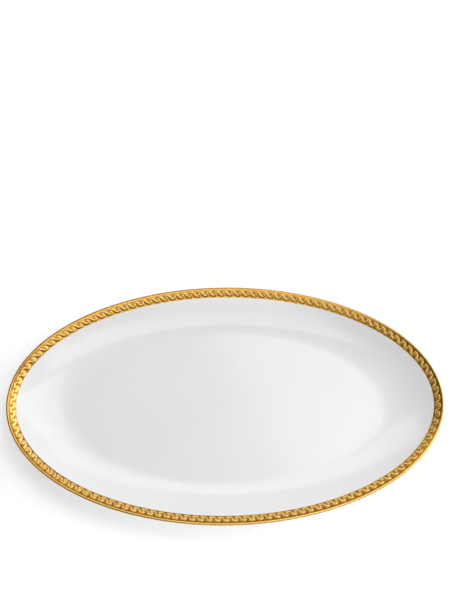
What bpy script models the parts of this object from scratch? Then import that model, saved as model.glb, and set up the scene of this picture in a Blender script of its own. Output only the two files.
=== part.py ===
"""Oval china serving platter with a gilded rim, as an assembly of its fired layers.

Frame: metres, +Z up, X along the platter's length, origin on the table under the platter's middle.
The china body carries a glaze coat on its face and its back, a foot ring luted to its underside, and
a gilt border of three strips: a lip rolled over the edge, a scroll band and an inner line.
Every piece is a loft through oval rings, because the rim, the wall and the floor are unlike ovals:
the border keeps one width all round, while the wall is wider at the ends than at the sides.
"""

import math

import bmesh
import bpy

# Driving dimensions.
LENGTH = 0.530
WIDTH = 0.2925
HEIGHT = 0.0345
FLOOR_LENGTH = 0.358
FLOOR_WIDTH = 0.182
FLOOR_TOP = 0.0120

# The sloped border, measured level, inwards from the outermost edge.
BORDER_WIDTH = 0.0123
BORDER_SLOPE = math.tan(math.radians(27))
LIP_WIDTH = 0.0028
LINE_WIDTH = 0.0010

# The layers, measured straight down from the face.
THICKNESS = 0.0052
GLAZE = 0.0004
GILDING = 0.0006
GAP = 0.0003

# The foot ring, measured outwards from the floor's oval.
FOOT_TOP_OUTER = 0.0005
FOOT_TOP_INNER = -0.0080
FOOT_BASE_OUTER = -0.0018
FOOT_BASE_INNER = -0.0062
FOOT_ROUNDING = 0.0010

SEGMENTS = 72
WALL_STEPS = 6
NOSE_STEPS = 5
LIP_UNDER_ANGLE = -60
SHARP_ANGLE = 35

# Derived sizes.
BODY_TOP = GLAZE + GAP
BODY_UNDER = THICKNESS - GLAZE - GAP
SEAT = GILDING + GAP
NOSE_RADIUS = THICKNESS / 2
CREST = HEIGHT + NOSE_RADIUS * (1 + BORDER_SLOPE - math.hypot(1, BORDER_SLOPE))
WALL_RISE = CREST - BORDER_WIDTH * BORDER_SLOPE - FLOOR_TOP
LINE_INNER = BORDER_WIDTH - GAP
LINE_OUTER = LINE_INNER - LINE_WIDTH
BACK_EDGE = NOSE_RADIUS * 0.75


def rim_point(theta, inset):
    """A plan point set in from the outermost oval, along that oval's normal."""
    x = LENGTH / 2 * math.cos(theta)
    y = WIDTH / 2 * math.sin(theta)
    normal_x = WIDTH * math.cos(theta)
    normal_y = LENGTH * math.sin(theta)
    size = math.hypot(normal_x, normal_y)
    return x - inset * normal_x / size, y - inset * normal_y / size


def floor_point(theta, outset):
    """A plan point on the floor's oval, let out by outset."""
    x = (FLOOR_LENGTH / 2 + outset) * math.cos(theta)
    y = (FLOOR_WIDTH / 2 + outset) * math.sin(theta)
    return x, y


def border_ring(inset, depth):
    """A ring of the sloped border: inset from the edge, depth below the border's face."""
    z = CREST - inset * BORDER_SLOPE - depth
    return lambda theta: (*rim_point(theta, inset), z)


def wall_ring(share, depth):
    """A ring of the wall: share is 0 at the floor and 1 at the border, and the wall meets both without a
    crease however wide it is there."""

    def point(theta):
        low_x, low_y = floor_point(theta, 0)
        high_x, high_y = rim_point(theta, BORDER_WIDTH)
        run = math.hypot(high_x - low_x, high_y - low_y)
        rise = WALL_RISE * (3 * share**2 - 2 * share**3)
        rise += run * BORDER_SLOPE * (share**3 - share**2)
        x = low_x + share * (high_x - low_x)
        y = low_y + share * (high_y - low_y)
        return x, y, FLOOR_TOP + rise - depth

    return point


def floor_ring(outset, z):
    """A level ring about the floor's oval."""
    return lambda theta: (*floor_point(theta, outset), z)


def wall_rings(depth, first=0.0, last=1.0):
    """The wall's rings at one depth, from share first to share last."""
    steps = range(WALL_STEPS + 1)
    return [wall_ring(first + (last - first) * i / WALL_STEPS, depth) for i in steps]


def nose_rings(cover, first_angle, last_angle):
    """Rings round the rolled edge, cover inside its surface. The angle is 90 degrees on the face, 0 at the
    outermost edge and -90 on the back."""
    rings = []
    for i in range(NOSE_STEPS + 1):
        angle = math.radians(first_angle + (last_angle - first_angle) * i / NOSE_STEPS)
        inset = NOSE_RADIUS - (NOSE_RADIUS - cover) * math.cos(angle)
        depth = NOSE_RADIUS - (NOSE_RADIUS - cover) * math.sin(angle)
        rings.append(border_ring(inset, depth))
    return rings


def loft(name, rings, material, level, hollow=False):
    """A closed solid skinned through the rings in turn. A hollow one joins its last ring to its first,
    and any other is capped at both ends. The object's own origin is at height level."""
    bm = bmesh.new()
    edge_loops = []
    for ring in rings:
        verts = bmesh.ops.create_circle(bm, segments=SEGMENTS, radius=1)["verts"]
        for i, vert in enumerate(verts):
            x, y, z = ring(2 * math.pi * i / SEGMENTS)
            vert.co = (x, y, z - level)
        edge_loops.append(list({edge for vert in verts for edge in vert.link_edges}))
    if hollow:
        edge_loops.append(edge_loops[0])
    else:
        for loop in (edge_loops[0], edge_loops[-1]):
            bmesh.ops.contextual_create(bm, geom=loop)
    for lower, upper in zip(edge_loops, edge_loops[1:]):
        bmesh.ops.bridge_loops(bm, edges=lower + upper)
    bmesh.ops.recalc_face_normals(bm, faces=bm.faces)
    mesh = bpy.data.meshes.new(name)
    bm.to_mesh(mesh)
    bm.free()
    mesh.shade_smooth()
    mesh.set_sharp_from_angle(angle=math.radians(SHARP_ANGLE))
    mesh.materials.append(material)
    part = bpy.data.objects.new(name, mesh)
    part.location.z = level
    part.parent = FRAME
    COLLECTION.objects.link(part)
    return part


def make_material(name, colour, roughness, metallic=0.0):
    """A Principled material with one colour."""
    material = bpy.data.materials.new(name)
    material.use_nodes = True
    shader = material.node_tree.nodes["Principled BSDF"]
    shader.inputs["Base Color"].default_value = (*colour, 1.0)
    shader.inputs["Roughness"].default_value = roughness
    shader.inputs["Metallic"].default_value = metallic
    return material


def make_china_body(china):
    """The one-piece porcelain dish: floor, wall and border, with a shallow seat for the gilt strips."""
    rings = wall_rings(BODY_TOP)
    rings.append(border_ring(BORDER_WIDTH, SEAT))
    rings += nose_rings(SEAT, 90, -90)
    rings += wall_rings(BODY_UNDER, first=1.0, last=0.0)
    return loft("china_body", rings, china, FLOOR_TOP)


def make_foot_ring(china):
    """The oval foot that the platter stands on, tapered downwards, with a flat base ground bare of glaze."""
    top = FLOOR_TOP - BODY_UNDER - GAP
    rings = [
        floor_ring(FOOT_TOP_INNER, top),
        floor_ring(FOOT_BASE_INNER - FOOT_ROUNDING * 0.3, FOOT_ROUNDING),
        floor_ring(FOOT_BASE_INNER, 0),
        floor_ring(FOOT_BASE_OUTER, 0),
        floor_ring(FOOT_BASE_OUTER + FOOT_ROUNDING * 0.3, FOOT_ROUNDING),
        floor_ring(FOOT_TOP_OUTER, top),
    ]
    return loft("foot_ring", rings, china, 0.0, hollow=True)


def make_glaze_face(glaze):
    """The glaze coat on the face, from the floor up to the gilt line."""
    rings = wall_rings(0)
    rings += wall_rings(GLAZE, first=1.0, last=0.0)
    return loft("glaze_face", rings, glaze, FLOOR_TOP)


def make_glaze_back(glaze):
    """The glaze coat on the back, from the foot ring out to the gilt lip."""
    foot_side = (FOOT_TOP_OUTER + GAP) / ((WIDTH - FLOOR_WIDTH) / 2 - BORDER_WIDTH)
    rings = [border_ring(BACK_EDGE, THICKNESS)]
    rings += wall_rings(THICKNESS, first=1.0, last=foot_side)
    rings += wall_rings(THICKNESS - GLAZE, first=foot_side, last=1.0)
    rings.append(border_ring(BACK_EDGE, THICKNESS - GLAZE))
    return loft("glaze_back", rings, glaze, FLOOR_TOP, hollow=True)


def make_glaze_foot_well(glaze):
    """The glaze coat on the underside of the floor, inside the foot ring."""
    edge = FOOT_TOP_INNER - GAP
    under = FLOOR_TOP - THICKNESS
    rings = [floor_ring(edge, under), floor_ring(edge, under + GLAZE)]
    return loft("glaze_foot_well", rings, glaze, FLOOR_TOP)


def make_gilt_lip(gold):
    """The gilt strip rolled over the outermost edge, from the scroll band round to the back."""
    rings = [border_ring(LIP_WIDTH, 0)]
    rings += nose_rings(0, 90, LIP_UNDER_ANGLE)
    rings += nose_rings(GILDING, LIP_UNDER_ANGLE, 90)
    rings.append(border_ring(LIP_WIDTH, GILDING))
    return loft("gilt_lip", rings, gold, HEIGHT, hollow=True)


def make_gilt_strip(name, outer, inner, gold):
    """A flat gilt strip of the border, between two insets."""
    rings = [
        border_ring(outer, 0),
        border_ring(inner, 0),
        border_ring(inner, GILDING),
        border_ring(outer, GILDING),
    ]
    return loft(name, rings, gold, HEIGHT, hollow=True)


for old in list(bpy.data.objects):
    bpy.data.objects.remove(old)

COLLECTION = bpy.data.collections.new("china_serving_platter")
bpy.context.scene.collection.children.link(COLLECTION)
FRAME = bpy.data.objects.new("platter_frame", None)
COLLECTION.objects.link(FRAME)

bisque = make_material("bisque_china", (0.86, 0.85, 0.82), 0.75)
glazed = make_material("white_glaze", (0.91, 0.91, 0.92), 0.08)
gilding = make_material("gilding", (0.83, 0.58, 0.22), 0.25, metallic=1.0)

make_china_body(bisque)
make_foot_ring(bisque)
make_glaze_face(glazed)
make_glaze_back(glazed)
make_glaze_foot_well(glazed)
make_gilt_lip(gilding)
make_gilt_strip("gilt_scroll_band", LIP_WIDTH + GAP, LINE_OUTER - GAP, gilding)
make_gilt_strip("gilt_inner_line", LINE_OUTER, LINE_INNER, gilding)
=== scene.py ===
"""The looks of the china serving platter: white glaze, a gilt border with running scrolls, a ground foot.

Metres, in the CAD's frame: X along the platter, Y across it, Z up, and the table at z = 0.
An inset is measured level, inwards from the outermost edge. A depth is measured straight down from the
face. An outset is measured level, outwards from the oval of the floor.
"""

import math

import bpy
import numpy as np
from mathutils import Matrix, Vector


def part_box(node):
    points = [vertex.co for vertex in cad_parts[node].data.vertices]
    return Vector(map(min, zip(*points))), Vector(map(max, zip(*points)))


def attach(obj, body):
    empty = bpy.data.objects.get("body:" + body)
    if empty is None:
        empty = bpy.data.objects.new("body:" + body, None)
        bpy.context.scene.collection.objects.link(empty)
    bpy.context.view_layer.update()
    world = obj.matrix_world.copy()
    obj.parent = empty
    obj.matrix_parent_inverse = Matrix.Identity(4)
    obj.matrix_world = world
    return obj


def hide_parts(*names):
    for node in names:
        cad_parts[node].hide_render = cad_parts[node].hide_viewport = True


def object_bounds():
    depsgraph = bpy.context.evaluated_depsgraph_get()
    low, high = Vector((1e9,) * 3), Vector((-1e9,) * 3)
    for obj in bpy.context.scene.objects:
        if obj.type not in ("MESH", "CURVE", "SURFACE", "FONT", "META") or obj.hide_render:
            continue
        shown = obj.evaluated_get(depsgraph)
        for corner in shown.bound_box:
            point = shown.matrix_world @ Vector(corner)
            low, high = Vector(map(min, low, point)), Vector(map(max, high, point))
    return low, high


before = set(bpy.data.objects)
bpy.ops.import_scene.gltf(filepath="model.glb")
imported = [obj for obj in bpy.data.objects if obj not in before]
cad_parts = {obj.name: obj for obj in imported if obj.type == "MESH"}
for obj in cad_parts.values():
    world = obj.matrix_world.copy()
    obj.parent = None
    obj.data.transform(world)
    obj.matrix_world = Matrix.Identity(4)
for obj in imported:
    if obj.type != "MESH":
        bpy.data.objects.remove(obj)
CAD_LOW, CAD_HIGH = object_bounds()

# The dish, from the CAD's boxes.
LENGTH = CAD_HIGH.x - CAD_LOW.x
WIDTH = CAD_HIGH.y - CAD_LOW.y
HEIGHT = CAD_HIGH.z
FACE_LOW, FACE_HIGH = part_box("glaze_face")
FOOT_LOW, FOOT_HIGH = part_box("foot_ring")
GLAZE = 0.0004
FOOT_LEDGE = 0.0005
FLOOR_TOP = FACE_LOW.z + GLAZE
FLOOR_A = FOOT_HIGH.x - FOOT_LEDGE
FLOOR_B = FOOT_HIGH.y - FOOT_LEDGE
BORDER_WIDTH = CAD_HIGH.x - FACE_HIGH.x
BORDER_SLOPE = math.tan(math.radians(27))
THICKNESS = 0.0052
NOSE_RADIUS = THICKNESS / 2
CREST = HEIGHT + NOSE_RADIUS * (1 + BORDER_SLOPE - math.hypot(1, BORDER_SLOPE))
WALL_RISE = CREST - BORDER_WIDTH * BORDER_SLOPE - FLOOR_TOP
SKIN = 0.0005
EDGE_SINK = 0.0001
UNDER = FLOOR_TOP - THICKNESS
FLOOR_SAG = 0.00025

# The foot and the glaze about it, as sections of (outset, z) points.
FOOT_OUTER = -0.0018
FOOT_INNER = -0.0062
FOOT_ROUND = 0.0007
FOOT_SPREAD = 0.0001
FOOT_TOP = 0.0052
FOOT_GLAZE_END = 0.0016
FOOT_ROUND_TOP = FOOT_GLAZE_END + 0.0006
GLAZE_TURN = FOOT_GLAZE_END + 0.0002
BACK_START = 0.05
BACK_BEND = ((0.00222, UNDER + 0.0001), (0.0002, UNDER), (-0.0006, 0.0042))
BACK_END = ((-0.0013, GLAZE_TURN), (-0.0016, FOOT_GLAZE_END))
BACK_INNER = ((-0.0024, FOOT_GLAZE_END), (-0.0016, UNDER + SKIN))
WELL_BEND = ((-0.0125, UNDER), (-0.0082, UNDER), (-0.0074, 0.0040))
WELL_END = ((-0.0069, GLAZE_TURN), (-0.0066, FOOT_GLAZE_END))
WELL_INNER = ((-0.0060, FOOT_GLAZE_END), (-0.0066, UNDER + SKIN))
WELL_OUTER_SIZE = 0.93

# The gilt border.
LIP_WIDTH = 0.0028
LINE_OUTER = 0.0111
LINE_INNER = 0.0120
LIP_UNDER_ANGLE = -68
# Painted shade round the lip's outer edge: least where the lip faces this way round the platter, towards the
# strongest lamp, from this angle on the nose outwards, and growing this fast round the other side.
LIP_BRIGHTEST = math.radians(-20)
LIP_SHADE_ANGLE = 60
LIP_SHADE_GROWTH = 0.7
LINE_EDGE = 0.0003
UNDER_GILDING = LINE_INNER - 0.0004
BACK_UNDER_LIP = -40
GILDING = 0.0006
# The colour of the painted shade in the hollows of the scrolls.
HOLLOW_PAINTED_SHADE = (0.70, 0.52, 0.28)
# The colour of the lip's painted shade.
LIP_PAINTED_SHADE_COLOUR = (0.40, 0.30, 0.20)

# The running scrolls, as they lie along the border. Most of these numbers were found outside this script, by
# fitting the formula below to the border in the photograph, and then rounded.
SCROLLS = 126
ARCS = 4
COLUMNS = 44
ROWS = 34
PHASE = 0.33
SCROLL_MIDDLE = 0.0076
LEAN = 0.0007
LEAN_TOWARDS = math.radians(-56)
SCROLL_REACH = 0.0023
CURL_RADIUS = 0.0015
CURL_TURN = 200
CURL_EASE = 2.1
SLANT = 0.48
RIDGE_HALF = 0.00105
RIDGE_SHAPE = 1.45
SLANT_WIDENING = 1.8
CURL_WIDENING = 0.4
WIDE_HEIGHT = 0.5
BOSS_RADIUS = 0.0015
BOSS_HEIGHT = 1.3
RELIEF = 0.0005

# How finely the surfaces are divided.
SEGMENTS = 480
WALL_RINGS = 56
FLOOR_RINGS = 14
LIP_RINGS = 30
EDGE_RINGS = 10
MIDDLE_SIZE = 0.03
CURL_POINTS = 60
WAVE_POINTS = 120
SHARP_ANGLE = 42


def rim(theta, inset):
    """Plan points set in from the outermost oval, along its normal."""
    x = LENGTH / 2 * np.cos(theta)
    y = WIDTH / 2 * np.sin(theta)
    normal_x = WIDTH * np.cos(theta)
    normal_y = LENGTH * np.sin(theta)
    size = np.hypot(normal_x, normal_y)
    return x - inset * normal_x / size, y - inset * normal_y / size


def border(theta, inset, depth):
    """Points of the sloped border."""
    x, y = rim(theta, inset)
    return np.stack([x, y, CREST - inset * BORDER_SLOPE - depth + 0 * x], axis=-1)


def floor_oval(theta, outset, z):
    """Points of a level ring about the floor's oval."""
    x = (FLOOR_A + outset) * np.cos(theta)
    y = (FLOOR_B + outset) * np.sin(theta)
    return np.stack([x, y, z + 0 * x], axis=-1)


def wall(theta, share, depth):
    """Points of the wall: share is 0 at the floor and 1 at the border."""
    low = floor_oval(theta, 0, 0)
    high_x, high_y = rim(theta, BORDER_WIDTH)
    run = np.hypot(high_x - low[:, 0], high_y - low[:, 1])
    rise = WALL_RISE * (3 * share**2 - 2 * share**3)
    rise = rise + run * BORDER_SLOPE * (share**3 - share**2)
    x = low[:, 0] + share * (high_x - low[:, 0])
    y = low[:, 1] + share * (high_y - low[:, 1])
    return np.stack([x, y, FLOOR_TOP + rise - depth], axis=-1)


def nose(theta, cover, angle):
    """Points round the rolled edge: 90 degrees is on the face, 0 outermost and -90 on the back."""
    a = math.radians(angle)
    inset = NOSE_RADIUS - (NOSE_RADIUS - cover) * math.cos(a)
    depth = NOSE_RADIUS - (NOSE_RADIUS - cover) * math.sin(a)
    return border(theta, inset, depth)


def mesh_object(name, points, faces, material):
    """An object of the platter's, with its faces turned outwards."""
    points = np.asarray(points, float)
    corners = points[[f[0] for f in faces]]
    seconds = points[[f[1] for f in faces]]
    thirds = points[[f[2] for f in faces]]
    lasts = points[[f[-1] for f in faces]]
    volume = np.einsum("ij,ij->", corners, np.cross(seconds, thirds))
    volume += np.einsum("ij,ij->", corners, np.cross(thirds, lasts))
    if volume < 0:
        faces = [f[::-1] for f in faces]
    mesh = bpy.data.meshes.new(name)
    mesh.from_pydata(points.tolist(), [], faces)
    mesh.shade_smooth()
    mesh.set_sharp_from_angle(angle=math.radians(SHARP_ANGLE))
    mesh.materials.append(material)
    piece = bpy.data.objects.new(name, mesh)
    bpy.context.scene.collection.objects.link(piece)
    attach(piece, "root")
    return piece


def quads(first, second, closed=True):
    """Faces between two rows of vertex numbers."""
    faces = np.stack([first, np.roll(first, -1), np.roll(second, -1), second], axis=1)
    return (faces if closed else faces[:-1]).tolist()


def loft(name, rings, material, hollow=False):
    """A closed skin through rings of points. A hollow one joins its last ring to its first, and any other
    closes on a middle point at both ends."""
    count = len(rings[0])
    rows = [np.arange(count) + i * count for i in range(len(rings))]
    points = np.concatenate(rings)
    faces = []
    for first, second in zip(rows, rows[1:]):
        faces += quads(first, second)
    if hollow:
        faces += quads(rows[-1], rows[0])
    else:
        points = np.concatenate([points, rings[0].mean(0)[None], rings[-1].mean(0)[None]])
        start, end = len(points) - 2, len(points) - 1
        faces += [[start, b, a] for a, b in zip(rows[0], np.roll(rows[0], -1))]
        faces += [[end, a, b] for a, b in zip(rows[-1], np.roll(rows[-1], -1))]
    return mesh_object(name, points, [list(map(int, f)) for f in faces], material)


# Materials.


def node(tree, kind, **settings):
    """A new node with its settings: those that start with in_ are its inputs, and others its properties."""
    made = tree.nodes.new(kind)
    for key, value in settings.items():
        if key.startswith("in_"):
            made.inputs[key[3:].replace("_", " ")].default_value = value
        else:
            setattr(made, key, value)
    return made


def principled(name):
    """A new material, with its node tree and its shader."""
    material = bpy.data.materials.new(name)
    material.use_nodes = True
    tree = material.node_tree
    return material, tree, tree.nodes["Principled BSDF"]


def noise(tree, scale, detail, roughness=0.5):
    """A noise pattern in metres, the same on every piece."""
    where = tree.nodes.new("ShaderNodeTexCoord")
    texture = node(tree, "ShaderNodeTexNoise", in_Scale=scale, in_Detail=detail, in_Roughness=roughness)
    tree.links.new(where.outputs["Object"], texture.inputs["Vector"])
    return texture.outputs["Fac"]


def ramp(tree, factor, stops):
    """A colour ramp on a factor: stops are (place, colour)."""
    made = tree.nodes.new("ShaderNodeValToRGB")
    elements = made.color_ramp.elements
    while len(elements) < len(stops):
        elements.new(0.5)
    for element, (place, colour) in zip(elements, stops):
        element.position = place
        element.color = (*colour, 1)
    tree.links.new(factor, made.inputs["Fac"])
    return made.outputs["Color"]


def spread(tree, factor, low, high):
    """A factor of 0.3 to 0.7, as noise gives, spread from low to high."""
    made = node(tree, "ShaderNodeMapRange")
    for key, value in (("From Min", 0.3), ("From Max", 0.7), ("To Min", low), ("To Max", high)):
        made.inputs[key].default_value = value
    tree.links.new(factor, made.inputs["Value"])
    return made.outputs["Result"]


def bump(tree, height, distance, strength):
    """A normal that follows a height, of a distance in metres."""
    made = node(tree, "ShaderNodeBump", in_Distance=distance, in_Strength=strength)
    tree.links.new(height, made.inputs["Height"])
    return made.outputs["Normal"]


def multiply(tree, first, second):
    """The product of two colours."""
    mix = node(tree, "ShaderNodeMix", data_type="RGBA", blend_type="MULTIPLY")
    colours = {socket.name: socket for socket in mix.inputs if socket.type == "RGBA"}
    mix.inputs[0].default_value = 1
    tree.links.new(first, colours["A"])
    tree.links.new(second, colours["B"])
    return next(socket for socket in mix.outputs if socket.type == "RGBA")


def make_glaze():
    """Clear glaze over white china: faint clouding in the white, and a slight ripple in the gloss."""
    material, tree, shader = principled("white_glaze")
    clouds = noise(tree, 9, 3)
    white = ramp(tree, clouds, [(0.3, (0.825, 0.825, 0.83)), (0.7, (0.85, 0.85, 0.85))])
    tree.links.new(white, shader.inputs["Base Color"])
    tree.links.new(spread(tree, noise(tree, 60, 4), 0.10, 0.16), shader.inputs["Roughness"])
    ripple = bump(tree, noise(tree, 70, 2), 0.00003, 0.5)
    tree.links.new(ripple, shader.inputs["Normal"])
    return material


def make_bisque():
    """Unglazed china: a fine tooth, and grey specks from the grinding."""
    material, tree, shader = principled("bisque_china")
    colour = ramp(
        tree,
        noise(tree, 900, 6, 0.7),
        [(0.35, (0.60, 0.57, 0.52)), (0.5, (0.78, 0.76, 0.71)), (1.0, (0.82, 0.80, 0.76))],
    )
    tree.links.new(colour, shader.inputs["Base Color"])
    tree.links.new(spread(tree, noise(tree, 300, 5), 0.65, 0.9), shader.inputs["Roughness"])
    tree.links.new(bump(tree, noise(tree, 1500, 4), 0.0001, 0.5), shader.inputs["Normal"])
    return material


def make_gilding(name, painted_shade_colour):
    """Burnished gold over glaze, with painted shade where its "relief" attribute is low: in the hollows of
    the scrolls, and round the lip's outer edge.
    """
    material, tree, shader = principled(name)
    shader.inputs["Metallic"].default_value = 1.0
    patches = noise(tree, 140, 5, 0.6)
    light = ramp(tree, patches, [(0.3, (0.72, 0.45, 0.125)), (0.7, (0.78, 0.50, 0.155))])
    rough = spread(tree, noise(tree, 420, 5, 0.65), 0.20, 0.34)
    height = node(tree, "ShaderNodeAttribute", attribute_name="relief")
    # Painted shade: where the attribute is low, the gold is darkened towards the given shade colour.
    shade = ramp(tree, height.outputs["Fac"], [(0.0, painted_shade_colour), (0.75, (1, 1, 1))])
    tree.links.new(multiply(tree, light, shade), shader.inputs["Base Color"])
    tree.links.new(rough, shader.inputs["Roughness"])
    tree.links.new(bump(tree, noise(tree, 900, 4), 0.00002, 0.2), shader.inputs["Normal"])
    return material


glaze = make_glaze()
bisque = make_bisque()
# The lip's gold gets painted shade round its outer edge, and the scrolls' gold gets painted shade in their
# hollows.
gilding = make_gilding("burnished_gold", LIP_PAINTED_SHADE_COLOUR)
gilt_relief = make_gilding("burnished_gold_relief", HOLLOW_PAINTED_SHADE)

THETA = np.arange(SEGMENTS) * (2 * math.pi / SEGMENTS)


def wall_rings(depth, first=0.0, last=1.0):
    """The wall's rings, from one share of it to another."""
    return [wall(THETA, share, depth) for share in np.linspace(first, last, WALL_RINGS)]


def level_disc(size, z):
    """A level ring as large as a share of the floor's oval."""
    return floor_oval(THETA, 0, z) * (size, size, 1)


def section_rings(section):
    """Rings through a section's (outset, z) points."""
    return [floor_oval(THETA, outset, z) for outset, z in section]


def floor_disc(depth):
    """The floor's rings, from near its middle outwards, with the slight sag that firing leaves."""
    rings = []
    for size in np.linspace(MIDDLE_SIZE, 1, FLOOR_RINGS):
        ring = level_disc(size, FLOOR_TOP - depth)
        ring[:, 2] -= FLOOR_SAG * (1 - size**2) ** 2
        rings.append(ring)
    return rings


def make_face_glaze():
    """The glaze on the face, from the floor up to just under the gilt line."""
    rings = floor_disc(EDGE_SINK)[:-1] + wall_rings(EDGE_SINK)
    rings += [border(THETA, UNDER_GILDING, EDGE_SINK), border(THETA, UNDER_GILDING, SKIN)]
    rings += wall_rings(SKIN, 1.0, 0.0) + floor_disc(SKIN)[-2::-1]
    piece = loft("face_glaze", rings, glaze)
    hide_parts("glaze_face")
    return piece


def bend(start, corner, end, count=8):
    """A smooth bend in the section from start to end, as (outset, z) points, pulled towards the corner."""
    t = np.linspace(0, 1, count)[:, None]
    start, corner, end = (np.array(p) for p in (start, corner, end))
    return (1 - t) ** 2 * start + 2 * t * (1 - t) * corner + t**2 * end


def make_back_glaze():
    """The glaze on the back: out of sight under the lip, down the wall and over the foot's outer side."""
    under_lip = np.linspace(BACK_UNDER_LIP, -90, EDGE_RINGS)
    outside = [nose(THETA, SKIN * 0.2, angle) for angle in under_lip]
    outside += wall_rings(THICKNESS, 1.0, BACK_START)
    outside += section_rings([*bend(*BACK_BEND)[1:], *BACK_END])
    inside = section_rings(BACK_INNER)
    inside += wall_rings(THICKNESS - SKIN, BACK_START, 1.0)
    inside += [nose(THETA, SKIN * 1.5, angle) for angle in under_lip[::-1]]
    piece = loft("back_glaze", outside + inside, glaze, hollow=True)
    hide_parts("glaze_back")
    return piece


def make_foot_well_glaze():
    """The glaze inside the foot: across the underside of the floor and down the foot's inner side."""
    sizes = np.linspace(MIDDLE_SIZE, WELL_OUTER_SIZE, FLOOR_RINGS - 2)
    rings = [level_disc(size, UNDER) for size in sizes[:-1]]
    rings += section_rings([*bend(*WELL_BEND), *WELL_END, *WELL_INNER])
    rings += [level_disc(size, UNDER + SKIN) for size in (0.7, 0.3, MIDDLE_SIZE)]
    piece = loft("foot_well_glaze", rings, glaze)
    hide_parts("glaze_foot_well")
    return piece


def make_ground_foot():
    """The foot's bare base, flat where it was ground and slightly rounded at both edges."""
    outer_top = (FOOT_OUTER + FOOT_SPREAD, FOOT_ROUND_TOP)
    inner_top = (FOOT_INNER - FOOT_SPREAD, FOOT_ROUND_TOP)
    section = [*bend(outer_top, (FOOT_OUTER, 0), (FOOT_OUTER - FOOT_ROUND, 0), 7)]
    section += [*bend((FOOT_INNER + FOOT_ROUND, 0), (FOOT_INNER, 0), inner_top, 7)]
    section += [(FOOT_INNER, FOOT_TOP), (FOOT_OUTER, FOOT_TOP)]
    piece = loft("ground_foot", section_rings(section), bisque, hollow=True)
    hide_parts("foot_ring")
    return piece


def set_shade_factor(piece, values):
    """A factor from 0 to 1 at each of a piece's points, where 0 gives the gilding its full painted shade: the
    height of the scrolls' relief, and for the lip the share of its outer edge left without painted shade.
    """
    relief = piece.data.attributes.new("relief", "FLOAT", "POINT")
    relief.data.foreach_set("value", values.ravel())


def make_lip():
    """The plain rolled lip, from the scrolls' ground over the edge to the back. Its gold has painted shade
    round the outermost edge, darkest on the side turned away from the strongest lamp and hardly any at the
    right end."""
    angles = np.linspace(90, LIP_UNDER_ANGLE, LIP_RINGS)
    rings = [border(THETA, LIP_WIDTH, GILDING), border(THETA, LIP_WIDTH, 0)]
    rings += [nose(THETA, 0, angle) for angle in angles]
    rings += [nose(THETA, GILDING, angle) for angle in angles[::-1]]
    piece = loft("gilt_lip_roll", rings, gilding, hollow=True)
    # Painted shade: the lip's outermost edge is darkened, the more the further round it is turned from the
    # strongest lamp.
    outermost = 1 - np.clip((angles - LIP_SHADE_ANGLE) / (90 - LIP_SHADE_ANGLE), 0, 1)
    turned_away = (0.5 - 0.5 * np.cos(THETA - LIP_BRIGHTEST)) ** LIP_SHADE_GROWTH
    lip_unshaded_share = 1 - np.outer(outermost, turned_away)
    set_shade_factor(piece, np.concatenate([np.ones((2, SEGMENTS)), lip_unshaded_share, lip_unshaded_share[::-1]]))
    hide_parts("gilt_lip")
    return piece


def make_inner_line():
    """The plain line that ends the gilding: flat, with a rounded edge that stands on the white glaze."""
    rings = [border(THETA, LINE_OUTER, GILDING), border(THETA, LINE_OUTER, 0)]
    for angle in np.linspace(90, 0, 6):
        a = math.radians(angle)
        inset = LINE_INNER - LINE_EDGE * (1 - math.cos(a))
        rings.append(border(THETA, inset, EDGE_SINK * (1 - math.sin(a))))
    rings.append(border(THETA, LINE_INNER, GILDING))
    piece = loft("gilt_bead", rings, gilding, hollow=True)
    set_shade_factor(piece, np.ones(len(piece.data.vertices)))
    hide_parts("gilt_inner_line")
    return piece


def scroll_line(pitch):
    """One running scroll from eye to eye, as points (along, outwards) and the ridge's half width at each:
    a curl out of the eye, a slanting wave, and a curl into the next eye, which is the first one turned."""
    turn = np.linspace(0, 1, CURL_POINTS)
    angle = np.radians(90 + CURL_TURN * (1 - turn))
    radius = CURL_RADIUS + (SCROLL_REACH - CURL_RADIUS) * turn**CURL_EASE
    curl = np.stack([radius * np.cos(angle), radius * np.sin(angle)], axis=1)
    along = np.linspace(0, 1, WAVE_POINTS)[1:-1]
    shifted = along + SLANT * np.sin(2 * math.pi * along) / (2 * math.pi)
    wave = np.stack([pitch * shifted, SCROLL_REACH * np.cos(math.pi * along)], axis=1)
    curl_width = 1 + (CURL_WIDENING - 1) * (1 - turn)
    wave_width = 1 + (SLANT_WIDENING - 1) * np.sin(math.pi * along) ** 2
    line = np.concatenate([curl, wave, np.array([pitch, 0]) - curl[::-1]])
    return line, RIDGE_HALF * np.concatenate([curl_width, wave_width, curl_width[::-1]])


def scroll_heights(pitch, insets):
    """The relief of one scroll on a grid of COLUMNS by insets, in metres above the ground."""
    line, half = scroll_line(pitch)
    line = np.concatenate([line + (pitch * k, 0) for k in (-2, -1, 0, 1)])
    half = np.tile(half, 4)
    along, across = np.meshgrid(np.arange(COLUMNS) / COLUMNS * pitch, SCROLL_MIDDLE - insets, indexing="ij")
    grid = np.stack([along, across], axis=-1)
    away = np.linalg.norm(grid[:, :, None, :] - line, axis=-1)
    nearest = away.argmin(axis=2)
    half = half[nearest]
    ridge = np.clip(1 - (away.min(axis=2) / half) ** 2, 0, 1) ** RIDGE_SHAPE
    ridge = ridge * (half / RIDGE_HALF) ** WIDE_HEIGHT
    to_eye = np.minimum(np.hypot(along, across), np.hypot(along - pitch, across))
    boss = BOSS_HEIGHT * np.clip(1 - (to_eye / BOSS_RADIUS) ** 2, 0, 1) ** RIDGE_SHAPE
    height = np.maximum(ridge, boss)
    for axis in (0, 1):
        height = (np.roll(height, 1, axis) + 2 * height + np.roll(height, -1, axis)) / 4
    height[:, [0, -1]] = 0
    return height


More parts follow.
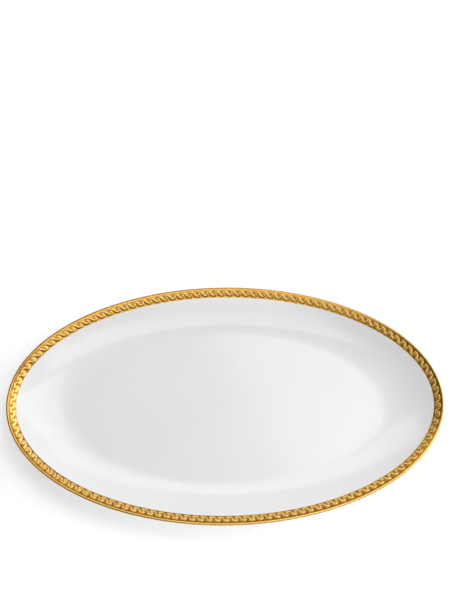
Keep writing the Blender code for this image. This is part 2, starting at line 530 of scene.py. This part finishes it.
def make_scrolls():
    """The band of running scrolls, in arcs that meet end to end. It leans, as it seems to in the photograph:
    the scrolls lie a little further in on one side of the platter than on the other."""
    fine = np.linspace(0, 2 * math.pi, 20001)
    x, y = rim(fine, SCROLL_MIDDLE)
    walked = np.concatenate([[0], np.cumsum(np.hypot(np.diff(x), np.diff(y)))])
    pitch = walked[-1] / SCROLLS
    insets = np.linspace(LINE_OUTER, LIP_WIDTH, ROWS + 1)
    heights = scroll_heights(pitch, insets)
    share = np.linspace(0, 1, ROWS + 1)
    lean = LEAN * 4 * share * (1 - share)
    per_arc = SCROLLS * COLUMNS // ARCS
    for arc in range(ARCS):
        columns = arc * per_arc + np.arange(per_arc + 1)
        distance = (-PHASE - columns / COLUMNS) % SCROLLS * pitch
        theta = np.interp(distance, walked, fine)[:, None]
        height = heights[columns % COLUMNS]
        leant = insets + lean * np.cos(theta - LEAN_TOWARDS)
        top = border(theta + 0 * insets, leant, -RELIEF * height).reshape(-1, 3)
        low = border(theta + np.zeros(2), insets[[0, -1]] + 0 * theta, GILDING).reshape(-1, 3)
        numbers = np.arange(len(top)).reshape(-1, ROWS + 1)
        bottom = len(top) + np.arange(len(low)).reshape(-1, 2)
        faces = []
        for row in range(ROWS):
            faces += quads(numbers[:, row], numbers[:, row + 1], closed=False)
        faces += quads(bottom[:, 0], numbers[:, 0], closed=False)
        faces += quads(numbers[:, -1], bottom[:, 1], closed=False)
        faces += quads(bottom[:, 1], bottom[:, 0], closed=False)
        faces.append([*numbers[0].tolist(), int(bottom[0, 1]), int(bottom[0, 0])])
        faces.append([*numbers[-1][::-1].tolist(), int(bottom[-1, 0]), int(bottom[-1, 1])])
        name = f"scroll_arc_{arc + 1}"
        piece = mesh_object(name, np.concatenate([top, low]), faces, gilt_relief)
        # The scrolls' heights set how much painted shade the gold gets in the hollows.
        set_shade_factor(piece, np.concatenate([height.ravel(), np.zeros(len(low))]))
        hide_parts("gilt_scroll_band")


make_face_glaze()
make_back_glaze()
make_foot_well_glaze()
make_ground_foot()
make_lip()
make_inner_line()
make_scrolls()
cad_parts["china_body"].data.materials[0] = bisque

# The camera. Shares are of the picture's height.
ELEVATION = 79.0
LENS = 78.35
DISTANCE = 1.6
ROLL = -0.55
DROP = 0.1768
ASIDE = -0.0013
SENSOR = 36.0


def turned(first, second, angle):
    """Two square directions turned in their plane, the first towards the second."""
    return (
        first * math.cos(angle) + second * math.sin(angle),
        second * math.cos(angle) - first * math.sin(angle),
    )


def make_camera():
    """A long lens looking down on the platter, which sits below the middle of the picture."""
    data = bpy.data.cameras.new("camera")
    data.lens = LENS
    data.sensor_width = SENSOR
    camera = bpy.data.objects.new("camera", data)
    e = math.radians(ELEVATION)
    back = Vector((0, -math.cos(e), math.sin(e)))
    right = Vector((1, 0, 0))
    ahead = -back
    up = right.cross(ahead)
    tilt = math.atan(DROP * SENSOR / LENS)
    ahead, up = turned(ahead, up, tilt)
    turn = math.atan(ASIDE * SENSOR / LENS)
    right, ahead = turned(right, ahead, turn)
    right, up = turned(right, up, math.radians(ROLL))
    axes = Matrix((right, up, -ahead)).transposed().to_4x4()
    camera.matrix_world = Matrix.Translation(Vector((0, 0, HEIGHT / 2)) + back * DISTANCE) @ axes
    bpy.context.scene.collection.objects.link(camera)
    bpy.context.scene.camera = camera


FLOOR_REACH = 12.0
FLOOR_WHITE = 0.96
FLOOR_GLOW = 0.24


def make_floor():
    """A pale matt floor that glows faintly, as a lit sheet of paper does."""
    mesh = bpy.data.meshes.new("floor")
    corners = [(x * FLOOR_REACH, y * FLOOR_REACH, 0) for x, y in ((-1, -1), (1, -1), (1, 1), (-1, 1))]
    mesh.from_pydata(corners, [], [(0, 1, 2, 3)])
    material, tree, shader = principled("pale_floor")
    shader.inputs["Base Color"].default_value = (FLOOR_WHITE, FLOOR_WHITE, FLOOR_WHITE, 1)
    shader.inputs["Roughness"].default_value = 0.9
    shader.inputs["Emission Color"].default_value = (1, 1, 1, 1)
    shader.inputs["Emission Strength"].default_value = FLOOR_GLOW
    mesh.materials.append(material)
    floor = bpy.data.objects.new("floor", mesh)
    bpy.context.scene.collection.objects.link(floor)


# The lamps: name, azimuth from +X, elevation, distance, width and height, watts.
LAMPS = (
    ("low_right", 40, 12, 2.0, (1.4, 0.6), 5),
    ("low_back", 92, 12, 2.0, (1.4, 0.6), 4.5),
    ("side_right", 0, 30, 1.9, (2.2, 1.0), 23),
    ("side_left", 208, 32, 1.9, (1.6, 0.8), 2.5),
    ("high_front", 285, 62, 1.9, (1.2, 0.7), 5.5),
    ("back", 98, 55, 1.9, (1.5, 0.9), 8),
    ("overhead", 28, 67, 2.4, (1.4, 1.4), 12.5),
)
LAMP_TARGET = Vector((0, 0, 0.02))

# How bright the studio's walls are near the floor and overhead, and between which heights they dim.
WALLS_LOW = 0.75
WALLS_HIGH = 0.14
WALLS_FADE = (0.06, 0.3)


def make_lamps():
    """Soft panels round the platter, which the camera itself doesn't see."""
    for name, azimuth, elevation, distance, size, power in LAMPS:
        data = bpy.data.lights.new(name, "AREA")
        data.shape = "RECTANGLE"
        data.size, data.size_y = size
        data.energy = power
        a, e = math.radians(azimuth), math.radians(elevation)
        away = Vector((math.cos(e) * math.cos(a), math.cos(e) * math.sin(a), math.sin(e)))
        lamp = bpy.data.objects.new(name, data)
        lamp.location = LAMP_TARGET + away * distance
        lamp.rotation_euler = away.to_track_quat("Z", "Y").to_euler()
        lamp.visible_camera = False
        bpy.context.scene.collection.objects.link(lamp)


def make_world():
    """The studio's walls: pale near the floor, and dim overhead."""
    world = bpy.data.worlds.new("studio")
    world.use_nodes = True
    tree = world.node_tree
    where = tree.nodes.new("ShaderNodeTexCoord")
    split = tree.nodes.new("ShaderNodeSeparateXYZ")
    fade = tree.nodes.new("ShaderNodeMapRange")
    for key, value in zip(("From Min", "From Max", "To Min", "To Max"), (*WALLS_FADE, WALLS_LOW, WALLS_HIGH)):
        fade.inputs[key].default_value = value
    tree.links.new(where.outputs["Generated"], split.inputs["Vector"])
    tree.links.new(split.outputs["Z"], fade.inputs["Value"])
    background = tree.nodes["Background"]
    background.inputs["Color"].default_value = (1, 1, 1, 1)
    tree.links.new(fade.outputs["Result"], background.inputs["Strength"])
    bpy.context.scene.world = world


make_camera()
make_floor()
make_lamps()
make_world()
bpy.context.scene.view_settings.view_transform = "Standard"
